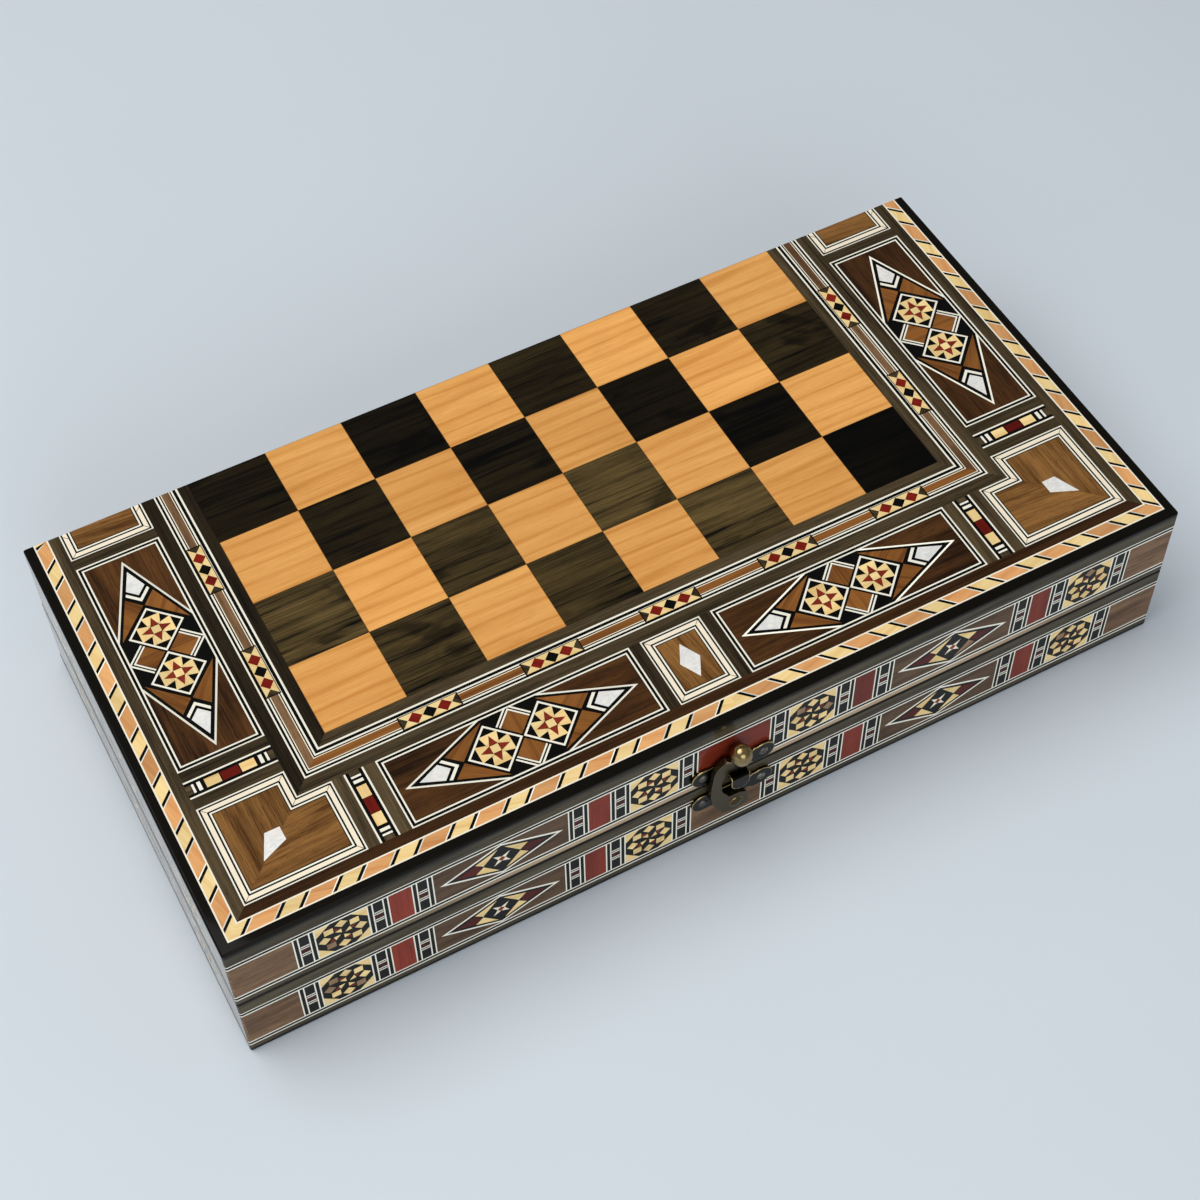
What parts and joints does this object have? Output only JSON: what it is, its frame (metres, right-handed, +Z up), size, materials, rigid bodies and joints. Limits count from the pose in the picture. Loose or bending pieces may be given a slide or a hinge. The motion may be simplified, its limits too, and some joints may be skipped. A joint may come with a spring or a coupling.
{
  "type": "chess box",
  "caption": "Folding chess box: two inlaid wooden trays hinged along the back, a chessboard across their outer faces, a points board inside and a hook latch at the front.",
  "frame": {"origin": "middle of the closed box's underside, midway along the hinge edge and midway from the hinge edge to the front", "axes": "+X to the right along the hinge edge, +Y from the latch towards the hinges, +Z up through the closed box"},
  "size_m": [0.303, 0.1595, 0.0564],
  "materials": {
    "rail_wood": "lacquered dark walnut, satin to gloss",
    "core_board": "plain thin board",
    "light_square_wood": "gloss lacquer, orange-tan with straight grain",
    "dark_square_wood": "gloss lacquer, near-black walnut with lighter streaks",
    "band_wood": "gloss lacquer, dark olive brown",
    "panel_wood": "gloss lacquer, dark walnut",
    "burl_wood": "gloss lacquer, mottled mid-brown walnut",
    "ebony_wood": "gloss lacquer, black",
    "bone_inlay": "polished, cream white",
    "yellow_wood": "gloss lacquer, pale yellow",
    "orange_wood": "gloss lacquer, orange with dark fibres",
    "brown_wood": "gloss lacquer, orange-brown",
    "red_wood": "gloss lacquer, dark red",
    "mahogany_wood": "satin lacquer, red-brown",
    "pearl": "polished mother-of-pearl, silver with soft colour play",
    "floor_wood": "satin lacquer, mid-brown ground veneer",
    "dark_point_wood": "satin lacquer, dark walnut",
    "light_point_wood": "satin lacquer, pale wood",
    "antique_brass": "darkened brass, worn bright on edges",
    "screw_steel": "dull grey"
  },
  "bodies": {
    "base": {"base_back_rail": "rail_wood", "base_centre_panel": "burl_wood", "base_core_panel": "core_board", "base_corner_panels": "burl_wood", "base_dark_bands": "band_wood", "base_dark_points": "dark_point_wood", "base_dark_squares": "dark_square_wood", "base_dividers": "band_wood", "base_end_panels": "burl_wood", "base_field_frame": "ebony_wood", "base_floor_veneer": "floor_wood", "base_front_rail": "rail_wood", "base_front_strip": "panel_wood", "base_left_rail": "rail_wood", "base_light_points": "light_point_wood", "base_light_squares": "light_square_wood", "base_long_panels": "panel_wood", "base_pearl_inlays": "pearl", "base_right_rail": "rail_wood", "base_rope_inlay": "orange_wood", "base_side_strips": "panel_wood", "base_small_strips": "ebony_wood", "left_hinge_base_leaf": "antique_brass", "right_hinge_base_leaf": "antique_brass", "left_hinge_pin": "antique_brass", "right_hinge_pin": "antique_brass", "hinge_base_screws": "screw_steel", "latch_base_plate": "antique_brass", "latch_base_screws": "screw_steel", "latch_rivet": "antique_brass"},
    "lid": {"lid_back_rail": "rail_wood", "lid_centre_panel": "burl_wood", "lid_core_panel": "core_board", "lid_corner_panels": "burl_wood", "lid_dark_bands": "band_wood", "lid_dark_points": "dark_point_wood", "lid_dark_squares": "dark_square_wood", "lid_dividers": "band_wood", "lid_end_panels": "burl_wood", "lid_field_frame": "ebony_wood", "lid_floor_veneer": "floor_wood", "lid_front_rail": "rail_wood", "lid_front_strip": "panel_wood", "lid_left_rail": "rail_wood", "lid_light_points": "light_point_wood", "lid_light_squares": "light_square_wood", "lid_long_panels": "panel_wood", "lid_pearl_inlays": "pearl", "lid_right_rail": "rail_wood", "lid_rope_inlay": "orange_wood", "lid_side_strips": "panel_wood", "lid_small_strips": "ebony_wood", "left_hinge_lid_leaf": "antique_brass", "right_hinge_lid_leaf": "antique_brass", "hinge_lid_screws": "screw_steel", "latch_lid_plate": "antique_brass", "latch_lid_screws": "screw_steel"},
    "latch_hook": {"latch_hook": "antique_brass"}
  },
  "joints": [
    {"name": "lid_hinge", "type": "hinge", "parent": "base", "child": "lid", "pos_m": [0, 0.07505, 0.0282], "axis": [-1, 0, 0], "range_deg": [0, 180]},
    {"name": "hook_swing", "type": "hinge", "parent": "base", "child": "latch_hook", "pos_m": [0.001, -0.0775, 0.0177], "axis": [0, -1, 0], "range_deg": [0, 110]}
  ]
}
